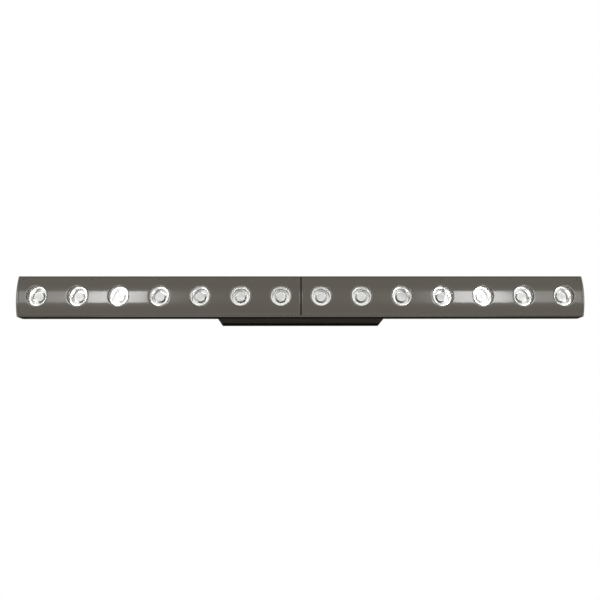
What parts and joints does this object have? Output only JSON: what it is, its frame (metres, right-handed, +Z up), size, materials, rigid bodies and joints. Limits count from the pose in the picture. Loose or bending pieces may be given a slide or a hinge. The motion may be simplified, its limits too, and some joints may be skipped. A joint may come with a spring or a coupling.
{
  "type": "linear floodlight",
  "caption": "Straight bar of recessed collimated lamps behind curved front panels, with a rear driver box, tilting yoke, clamp knobs, menu buttons and sockets.",
  "frame": {"origin": "on the flat underside, halfway along the bar, straight below the tilt axis of the yoke", "axes": "+X along the bar, -Y the way the lamps face, +Z up, out of the flat underside"},
  "size_m": [1, 0.17, 0.0726],
  "materials": {
    "housing_paint": "satin dark bronze-black paint",
    "panel_paint": "glossy dark grey paint",
    "cap_paint": "satin dark grey paint",
    "lens_clear": "clear moulded acrylic",
    "tray_plastic": "moulded black",
    "board_white": "white solder mask",
    "pad_silicone": "soft grey silicone",
    "box_paint": "textured dark brown-grey paint",
    "cover_paint": "textured black paint",
    "seal_rubber": "black rubber",
    "supply_steel": "zinc plated",
    "board_green": "green solder mask",
    "display_glass": "dark display glass",
    "window_acrylic": "smoked clear acrylic",
    "button_rubber": "moulded silicone",
    "inlet_plastic": "moulded blue",
    "outlet_plastic": "moulded grey",
    "socket_plastic": "moulded black",
    "fuse_cap_plastic": "moulded dark red",
    "screw_steel": "zinc plated",
    "black_screw_steel": "black oxide",
    "latch_metal": "nickel plated",
    "eye_steel": "plated",
    "lead_sleeve": "red insulation",
    "washer_fibre": "pressed fibre",
    "yoke_paint": "textured black paint",
    "knob_plastic": "moulded black"
  },
  "bodies": {
    "light": {"housing_extrusion": "housing_paint", "end_cap_left": "cap_paint", "end_cap_right": "cap_paint", "front_panel_left": "panel_paint", "front_panel_right": "panel_paint", "lens_tray_left": "tray_plastic", "lens_tray_right": "tray_plastic", "led_board_left": "board_white", "led_board_right": "board_white", "thermal_pad_left": "pad_silicone", "thermal_pad_right": "pad_silicone", "driver_housing": "box_paint", "cover_seal": "seal_rubber", "rear_cover": "cover_paint", "power_supply": "supply_steel", "control_board": "board_green", "display_module": "display_glass", "display_window": "window_acrylic", "power_inlet": "inlet_plastic", "power_outlet": "outlet_plastic", "dmx_input": "socket_plastic", "dmx_output": "socket_plastic", "fuse_holder": "socket_plastic", "safety_eye": "eye_steel", "cable_grommet": "seal_rubber", "led_lead_left": "lead_sleeve", "led_lead_right": "lead_sleeve", "friction_washer_left": "washer_fibre", "friction_washer_right": "washer_fibre", "lens_01": "lens_clear", "lens_02": "lens_clear", "lens_03": "lens_clear", "lens_04": "lens_clear", "lens_05": "lens_clear", "lens_06": "lens_clear", "lens_07": "lens_clear", "lens_08": "lens_clear", "lens_09": "lens_clear", "lens_10": "lens_clear", "lens_11": "lens_clear", "lens_12": "lens_clear", "lens_13": "lens_clear", "lens_14": "lens_clear", "driver_housing_screw_1": "screw_steel", "rear_cover_screw_1": "black_screw_steel", "driver_housing_screw_2": "screw_steel", "rear_cover_screw_2": "black_screw_steel", "driver_housing_screw_3": "screw_steel", "rear_cover_screw_3": "black_screw_steel", "driver_housing_screw_4": "screw_steel", "rear_cover_screw_4": "black_screw_steel"},
    "yoke": {"yoke": "yoke_paint"},
    "tilt_knob_left": {"tilt_knob_left": "knob_plastic"},
    "tilt_knob_right": {"tilt_knob_right": "knob_plastic"},
    "button_menu": {"button_menu": "button_rubber"},
    "button_down": {"button_down": "button_rubber"},
    "button_up": {"button_up": "button_rubber"},
    "button_enter": {"button_enter": "button_rubber"},
    "output_latch": {"output_latch": "latch_metal"},
    "fuse_cap": {"fuse_cap": "fuse_cap_plastic"}
  },
  "joints": [
    {"name": "yoke_tilt", "type": "hinge", "parent": "light", "child": "yoke", "pos_m": [0, 0, 0.0363], "axis": [1, 0, 0], "range_deg": [-110, 110]},
    {"name": "knob_turn_left", "type": "hinge", "parent": "light", "child": "tilt_knob_left", "pos_m": [-0.1556, 0, 0.0363], "axis": [1, 0, 0], "range_deg": [0, 360]},
    {"name": "knob_turn_right", "type": "hinge", "parent": "light", "child": "tilt_knob_right", "pos_m": [0.1556, 0, 0.0363], "axis": [1, 0, 0], "range_deg": [0, 360]},
    {"name": "press_menu", "type": "slide", "parent": "light", "child": "button_menu", "axis": [0, -1, 0], "range_m": [0, 0.0008], "stiffness_N_per_m": 1500},
    {"name": "press_down", "type": "slide", "parent": "light", "child": "button_down", "axis": [0, -1, 0], "range_m": [0, 0.0008], "stiffness_N_per_m": 1500},
    {"name": "press_up", "type": "slide", "parent": "light", "child": "button_up", "axis": [0, -1, 0], "range_m": [0, 0.0008], "stiffness_N_per_m": 1500},
    {"name": "press_enter", "type": "slide", "parent": "light", "child": "button_enter", "axis": [0, -1, 0], "range_m": [0, 0.0008], "stiffness_N_per_m": 1500},
    {"name": "press_latch", "type": "slide", "parent": "light", "child": "output_latch", "axis": [0, -1, 0], "range_m": [0, 0.0015], "stiffness_N_per_m": 1500},
    {"name": "fuse_cap_turn", "type": "hinge", "parent": "light", "child": "fuse_cap", "pos_m": [-0.06, 0.069, 0.0363], "axis": [0, 1, 0], "range_deg": [0, 90]}
  ]
}
